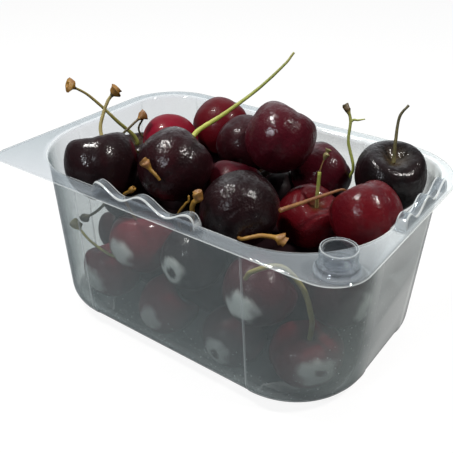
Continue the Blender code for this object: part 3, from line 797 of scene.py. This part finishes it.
def cherrySkin():
    look = skinLook
    made, tree = newMaterial("cherrySkin")
    read = node(tree, "Attribute", attribute_name="skin")
    parts = node(tree, "SeparateColor", {0: read.outputs["Color"]})
    tone, pale, pit = (parts.outputs[number] for number in range(3))
    seam = read.outputs["Alpha"]
    wet = attribute(tree, "wet")
    shade = maths(tree, "ADD", tone, driftOf(tree, **look["mottle"]))
    shade = maths(tree, "MULTIPLY_ADD", seam, look["seam"], shade, clamp=True)
    colour = ramp(tree, shade, look["tones"])
    colour = blendColour(tree, maths(tree, "MULTIPLY", pit, look["pitShare"]), colour, look["pit"])
    colour = blendColour(tree, maths(tree, "MULTIPLY", pale, look["paleShare"]), colour, look["pale"])
    # a film of water that stands in beads: stronger the wetter it is
    relief = maths(tree, "MULTIPLY_ADD", noiseOf(tree, **look["fineBeads"]), look["fineShare"],
                   noiseOf(tree, **look["beads"]))
    beaded = maths(tree, "MULTIPLY_ADD", wet, look["beadWet"], look["beadDry"])
    height = node(tree, "Bump", {"Strength": beaded, "Distance": look["beadDeep"], "Height": relief})
    film = mapped(tree, noiseOf(tree, **look["film"]), look["filmRange"], look["filmLeast"])
    wetter = maths(tree, "MULTIPLY_ADD", wet, look["filmWet"], look["filmDry"])
    film = maths(tree, "MULTIPLY", film, wetter, clamp=True)
    dry = maths(tree, "SUBTRACT", 1.0, pale, clamp=True)
    rough = maths(tree, "MULTIPLY_ADD", noiseOf(tree, **look["dull"]), look["dullVary"], look["dullLeast"])
    rough = maths(tree, "MULTIPLY_ADD", pale, look["dullPale"], rough)
    shader = node(tree, "BsdfPrincipled", {
        "Base Color": colour, "Roughness": rough, "IOR": look["ior"], "Specular IOR Level": look["shine"],
        "Normal": height.outputs[0], "Coat Weight": maths(tree, "MULTIPLY", film, dry),
        "Coat Roughness": look["filmRough"], "Coat IOR": look["filmIor"], "Coat Normal": height.outputs[0]})
    node(tree, "OutputMaterial", {"Surface": shader.outputs[0]})
    return made


# a near-black block inside the heap, standing for the cherries deep inside, coloured as black as the shade
# there: painted shade
core = dict(
    # half length, half width and height of each ring, in mm
    rings=((46, 21, 11), (51, 26, 20), (50, 25, 34), (42, 20, 41), (30, 14, 45)),
    radius=12.0, steps=6, lump=1.0, lumpScale=80, cuts=2, soften=0.3, sharp=60,
    colours=((0.3, (0.004, 0.001, 0.002)), (0.7, (0.011, 0.002, 0.003))), rough=0.7, shine=0.1,
    grain=dict(scale=120.0, detail=3.0))


def makeCore():
    build = bmesh.new()
    loops = []
    for length, width, height in core["rings"]:
        loop = []
        for number, (signX, signY) in enumerate(corners):
            for step in range(core["steps"] + 1):
                turn = math.pi / 2 * (number + step / core["steps"])
                along = signX * (length - core["radius"]) + core["radius"] * math.cos(turn)
                across = signY * (width - core["radius"]) + core["radius"] * math.sin(turn)
                loop.append(Vector((along, across, height)) * mm)
        loops.append(loop)
    loftLoops(build, loops)
    splitCaps(build)
    bmesh.ops.subdivide_edges(build, edges=build.edges, cuts=core["cuts"], use_grid_fill=True,
                              smooth=core["soften"])
    for vert in build.verts:
        vert.co += vert.co.normalized() * core["lump"] * mm * noise.noise(vert.co * core["lumpScale"])
    return objectFrom(build, "cherry_core", core["sharp"])


def paintedShadeCore():
    made, tree = newMaterial("paintedShadeCore")
    colour = ramp(tree, noiseOf(tree, **core["grain"]), core["colours"])
    shader = node(tree, "BsdfPrincipled", {"Base Color": colour, "Roughness": core["rough"],
                                           "Specular IOR Level": core["shine"]})
    node(tree, "OutputMaterial", {"Surface": shader.outputs[0]})
    return made


# the way in mm from inside the cherry to the free end, the half thickness in mm at its start and end,
# the age of the skin there (0 fresh green, 0.5 dark olive, 1 dark brown) and the size of the end knob
stems = dict(
    frontLeft=dict(thick=(0.72, 0.6), age=(0.32, 0.4), knob=4.0, way=((-42.0, -24.5, 73.5),
        (-44.2, -23.2, 78.6), (-44.5, -21.0, 83.2), (-43.9, -17.7, 88.7), (-42.1, -13.7, 92.4))),
    longThin=dict(thick=(0.95, 0.45), age=(0.2, 0.38), knob=4.6, way=((-57.8, 9.3, 55.5),
        (-58.4, 7.7, 61.6), (-59.6, 0.3, 70.3), (-62.1, -6.4, 79.4), (-64.0, -11.8, 85.7),
        (-65.4, -19.0, 90.9))),
    pairNear=dict(thick=(0.5, 0.5), age=(0.4, 0.62), knob=4.3, way=((-48.0, 2.0, 57.0), (-49.7, -8.0, 67.5),
        (-47.0, -4.5, 72.9), (-44.4, 1.9, 77.1))),
    pairFar=dict(thick=(0.45, 0.4), age=(0.4, 0.6), knob=0, way=((-45.5, 4.0, 62.5), (-46.7, -0.6, 70.1),
        (-44.4, 1.9, 76.5))),
    longGreen=dict(thick=(1.0, 0.45), age=(0.0, 0.25), knob=0, way=((-10.5, -10.5, 76.0),
        (-11.1, -5.2, 79.3), (-5.8, 5.3, 84.4), (1.1, 17.3, 92.0), (7.5, 25.2, 100.4),
        (9.7, 28.5, 104.7))),
    dryStub=dict(thick=(0.5, 0.9), age=(0.74, 0.8), knob=1.9, knobAge=0.86, way=((-7.6, -30.8, 70.4),
        (-8.7, -31.4, 72.2), (-10.5, -31.9, 74.0), (-12.0, -32.3, 75.8), (-13.4, -32.8, 77.2))),
    rimStub=dict(thick=(0.5, 0.6), age=(0.7, 0.78), knob=1.7, knobAge=0.84, way=((-18.5, -33.0, 50.0),
        (-19.1, -38.0, 62.8), (-12.9, -40.0, 68.6), (-11.3, -40.0, 70.2))),
    rimThin=dict(thick=(0.6, 0.35), age=(0.6, 0.8), knob=0, way=((3.0, -32.5, 52.0), (5.2, -36.5, 62.7),
        (8.4, -36.0, 68.2), (9.9, -36.0, 69.8), (10.1, -36.0, 71.8))),
    rimKnob=dict(thick=(0.7, 1.0), age=(0.7, 0.8), knob=1.8, knobAge=0.88, way=((7.0, -31.5, 52.0),
        (9.4, -34.0, 64.1), (10.6, -34.4, 68.5), (12.2, -33.8, 70.5), (12.0, -34.0, 73.2))),
    frontOchre=dict(thick=(0.55, 0.85), age=(0.84, 0.78), knob=2.4, knobAge=0.86, way=((23.0, -27.0, 57.0),
        (28.6, -31.9, 59.6), (34.0, -28.9, 61.3), (38.8, -25.9, 60.6), (41.4, -25.0, 59.3))),
    shortGreen=dict(thick=(0.75, 0.62), age=(0.45, 0.14), knob=0, way=((35.0, 7.5, 52.0), (35.4, 6.4, 57.5),
        (36.0, 5.1, 61.9), (35.7, 6.2, 71.0))),
    shortGreenTip=dict(thick=(0.3, 0.16), age=(0.6, 0.78), knob=6.5, knobAge=0.36, way=((35.7, 6.0, 69.5),
        (35.9, 6.9, 73.0), (36.9, 9.5, 78.7))),
    brown=dict(thick=(0.45, 0.8), age=(0.9, 0.86), knob=0, way=((47.0, 8.8, 63.5), (45.9, 5.6, 67.2),
        (43.7, -2.5, 68.2), (40.6, -14.9, 69.2), (38.5, -24.1, 70.1))),
    forked=dict(thick=(0.6, 0.6), age=(0.14, 0.22), knob=2.2, knobAge=0.7, way=((33.0, 31.5, 55.0),
        (36.4, 32.4, 62.2), (32.6, 34.0, 72.1), (31.6, 36.3, 80.2), (28.6, 36.8, 85.7))),
    forkedTwig=dict(thick=(0.6, 0.22), age=(0.2, 0.1), knob=0, way=((31.6, 36.0, 79.2), (32.6, 36.7, 80.4),
        (34.2, 37.4, 80.4), (36.4, 38.8, 80.9))),
    olive=dict(thick=(0.7, 0.48), age=(0.48, 0.5), knob=0, way=((54.3, 28.0, 71.5), (53.3, 29.9, 79.1),
        (52.6, 32.6, 87.3), (54.7, 34.4, 91.6))),
    arched=dict(thick=(1.0, 0.8), age=(0.26, 0.34), knob=0, way=((52.0, -23.8, 20.0), (53.5, -25.5, 29.0),
        (56.5, -31.5, 39.0), (54.7, -35.0, 52.1), (48.7, -39.0, 60.4), (39.8, -41.3, 56.4),
        (36.9, -41.3, 52.4))),
    wallPale=dict(thick=(0.6, 0.5), age=(0.24, 0.3), knob=4.2, knobAge=0.32, way=((-19.5, -38.0, 35.5),
        (-26.5, -41.5, 37.5), (-37.8, -41.0, 39.5), (-47.5, -39.5, 43.9))),
    wallDark=dict(thick=(0.6, 0.5), age=(0.46, 0.5), knob=3.4, knobAge=0.5, way=((-31.0, -31.0, 58.5),
        (-36.9, -36.0, 50.9), (-43.3, -39.0, 46.2))))
# lengths in mm; the knob grows over knobLength and its last tipLength narrows
stemForm = dict(
    sides=14, steps=8, sharp=60, knobLength=4.0, knobFull=0.45, tipLength=1.2, tipNarrow=0.3, rough=0.12,
    roughScale=900, frayed=2.6, jagged=0.55, knobAge=0.92, knobAged=0.8, dryAge=0.5,
    cup=((0.78, 0.1), (0.5, -0.3), (0.2, -0.7)))       # share of the end's size, way on in mm


def smoothWay(way, steps):
    # a smooth curve through the points, with this many steps from one to the next
    points = [Vector(point) * mm for point in way]
    ends = [points[0] * 2 - points[1]] + points + [points[-1] * 2 - points[-2]]
    curve = []
    for number in range(1, len(ends) - 2):
        before, start, end, after = ends[number - 1:number + 3]
        for step in range(steps):
            part = step / steps
            curve.append(0.5 * (2 * start + (end - before) * part
                                + (2 * before - 5 * start + 4 * end - after) * part ** 2
                                + (3 * start - before - 3 * end + after) * part ** 3))
    return curve + [points[-1]]


def stemStations(look):
    # (point, turn, share of the length, mm left to the end, size) along the stem and into its hollow end
    form = stemForm
    curve = smoothWay(look["way"], form["steps"])
    reach = [0.0]
    for first, second in zip(curve, curve[1:]):
        reach.append(reach[-1] + (second - first).length)
    stations, turned = [], None
    for number, point in enumerate(curve):
        ahead = (curve[min(number + 1, len(curve) - 1)] - curve[max(number - 1, 0)]).normalized()
        turned = ahead.to_track_quat("Z", "Y") if turned is None else (
            (turned @ Vector((0, 0, 1))).rotation_difference(ahead) @ turned)
        share = reach[number] / reach[-1]
        stations.append((point, turned, share, (reach[-1] - reach[number]) / mm, 1.0))
    point, turned, share, _, _ = stations[-1]
    for size, further in form["cup"]:
        if look["knob"] or further > 0:
            stations.append((point + turned @ Vector((0, 0, further * mm)), turned, share, 0.0, size))
    return stations


def addStem(build, age, look):
    form = stemForm
    loops, marks = [], []
    for point, turned, share, left, size in stemStations(look):
        half = between(*look["thick"], share)
        swell = smooth(form["knobLength"], form["knobFull"] * form["knobLength"], left)
        swell *= 1 - form["tipNarrow"] * smooth(form["tipLength"], 0, left)
        ragged = max(look["knob"] - 1, 0) * swell
        loop = []
        for side in range(form["sides"]):
            angle = 2 * math.pi * side / form["sides"]
            out = turned @ Vector((math.cos(angle), math.sin(angle), 0))
            bump = noise.noise((point + out * half * mm) * form["roughScale"])
            uneven = 1 + form["rough"] * (1 + form["frayed"] * ragged) * bump
            along = turned @ Vector((0, 0, form["jagged"] * min(ragged, 1) * bump * mm))
            loop.append(point + out * half * (1 + ragged) * uneven * size * mm + along)
        loops.append(loop)
        knobAge = look.get("knobAge", form["knobAge"])
        marks.append(between(between(*look["age"], share), knobAge, min(ragged, 1) * form["knobAged"]))
    before = len(build.verts)
    loftLoops(build, loops)
    build.verts.ensure_lookup_table()
    for number in range(before, len(build.verts)):
        build.verts[number][age] = marks[(number - before) // form["sides"]]


def stemPiece(name, chosen):
    build = bmesh.new()
    age = build.verts.layers.float.new("age")
    for key in chosen:
        addStem(build, age, stems[key])
    return objectFrom(build, name, stemForm["sharp"])


# colours by age from fresh green to dark brown; lengths in metres
stemLook = dict(
    colours=((0.0, (0.33, 0.345, 0.05)), (0.18, (0.17, 0.195, 0.035)), (0.34, (0.29, 0.235, 0.085)),
             (0.5, (0.048, 0.042, 0.014)), (0.64, (0.085, 0.045, 0.014)), (0.78, (0.235, 0.122, 0.01)),
             (0.88, (0.15, 0.058, 0.02)), (0.94, (0.06, 0.024, 0.006)), (1.0, (0.02, 0.009, 0.004))),
    drift=dict(vary=0.2, scale=350.0, detail=3.0, roughness=0.6),
    bark=dict(scale=1500.0, detail=3.0), barkStrength=0.5, barkDeep=0.0002, rough=0.5)


def stemSkin():
    look = stemLook
    made, tree = newMaterial("stemSkin")
    age = attribute(tree, "age")
    aged = maths(tree, "ADD", age, driftOf(tree, **look["drift"]), clamp=True)
    colour = ramp(tree, aged, look["colours"])
    bump = node(tree, "Bump", {"Strength": look["barkStrength"], "Distance": look["barkDeep"],
                               "Height": noiseOf(tree, **look["bark"])})
    shader = node(tree, "BsdfPrincipled", {"Base Color": colour, "Roughness": look["rough"],
                                           "Normal": bump.outputs[0]})
    node(tree, "OutputMaterial", {"Surface": shader.outputs[0]})
    return made


makeCamera()
makeStudio()
print("camera and studio ready")

punnet = makeTub()
punnet.data.materials.append(clearPlastic())
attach(punnet, "root")
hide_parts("punnet")
print("tub made:", len(punnet.data.polygons), "faces")

skin = cherrySkin()
groups = {}
for name, (darkest, brightest) in pieceTones.items():
    groups[name] = [(*shape, tone, wet, deep) for *shape, tone, wet, deep in shownCherries.values()
                    if darkest <= tone < brightest]
groups["cherries_behind"] = [(*look, hiddenLook["wet"], hiddenLook["deep"]) for look in hiddenCherries]
heap = []
for name, chosen in groups.items():
    heap.append(cherryPiece(name, chosen))
    heap[-1].data.materials.append(skin)
heap.append(makeCore())
heap[-1].data.materials.append(paintedShadeCore())
bark = stemSkin()
green = [key for key, look in stems.items() if look["age"][0] < stemForm["dryAge"]]
for name, chosen in dict(stems_green=green, stems_dry=[key for key in stems if key not in green]).items():
    heap.append(stemPiece(name, chosen))
    heap[-1].data.materials.append(bark)
for piece in heap:
    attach(piece, "root")
    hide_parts("cherry_heap")
    print(piece.name, len(piece.data.polygons), "faces")
